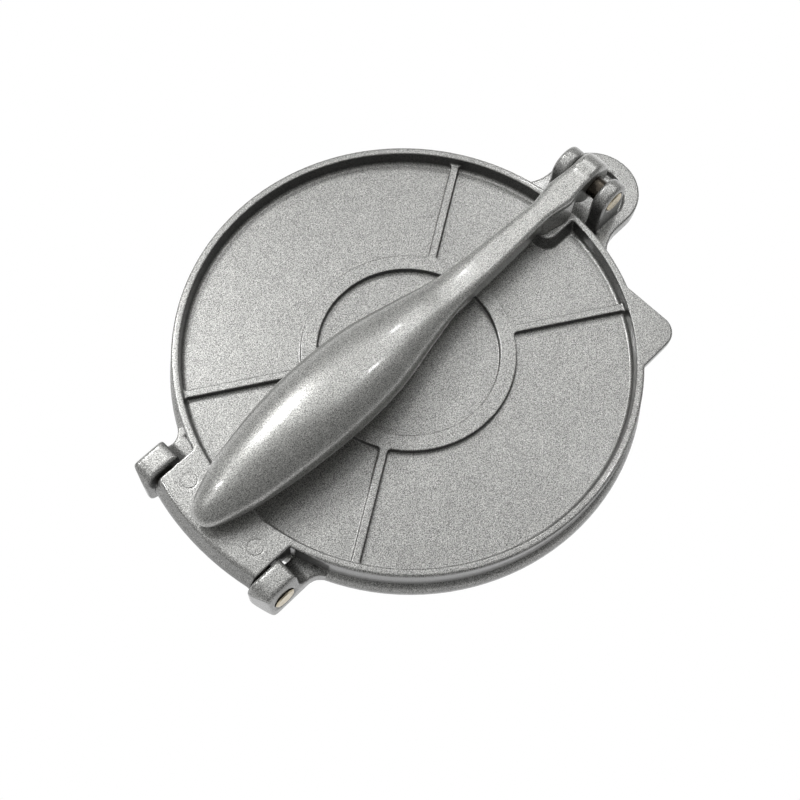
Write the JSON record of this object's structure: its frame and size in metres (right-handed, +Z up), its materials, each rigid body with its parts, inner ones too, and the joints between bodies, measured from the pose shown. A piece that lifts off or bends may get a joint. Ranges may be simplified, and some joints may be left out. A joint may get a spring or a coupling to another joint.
{
  "type": "tortilla press",
  "caption": "Round cast press with a hinged, dished upper plate and a swelled hand lever that folds over it and bears it down on the lower plate.",
  "frame": {"origin": "centre of the two round plates, on the plane that the press rests on", "axes": "+X along the press from the plate hinge to the lever pivot, +Y to the left seen from the hinge, +Z up"},
  "size_m": [0.2725, 0.2112, 0.0456],
  "materials": {
    "base_coat": "fine speckled metallic coat on a sand casting",
    "plate_coat": "fine speckled metallic coat, ground pressing face",
    "lever_coat": "fine speckled metallic coat, rubbed smoother on the grip",
    "pin_steel": "cropped steel with a faint warm tint"
  },
  "bodies": {
    "base": {"base_casting": "base_coat", "lever_pin": "pin_steel", "hinge_pin_left": "pin_steel", "hinge_pin_right": "pin_steel"},
    "plate": {"press_plate": "plate_coat"},
    "lever": {"lever": "lever_coat"}
  },
  "joints": [
    {"name": "lever_swing", "type": "hinge", "parent": "base", "child": "lever", "pos_m": [0.1175, 0, 0.0245], "axis": [0, 1, 0], "range_deg": [0, 180]},
    {"name": "plate_hinge", "type": "hinge", "parent": "base", "child": "plate", "pos_m": [-0.1134, 0, 0.0112], "axis": [0, -1, 0], "range_deg": [0, 100]}
  ],
  "couplings": [
    {"joint": "plate_hinge", "follows": "lever_swing", "ratio": 0.09}
  ]
}
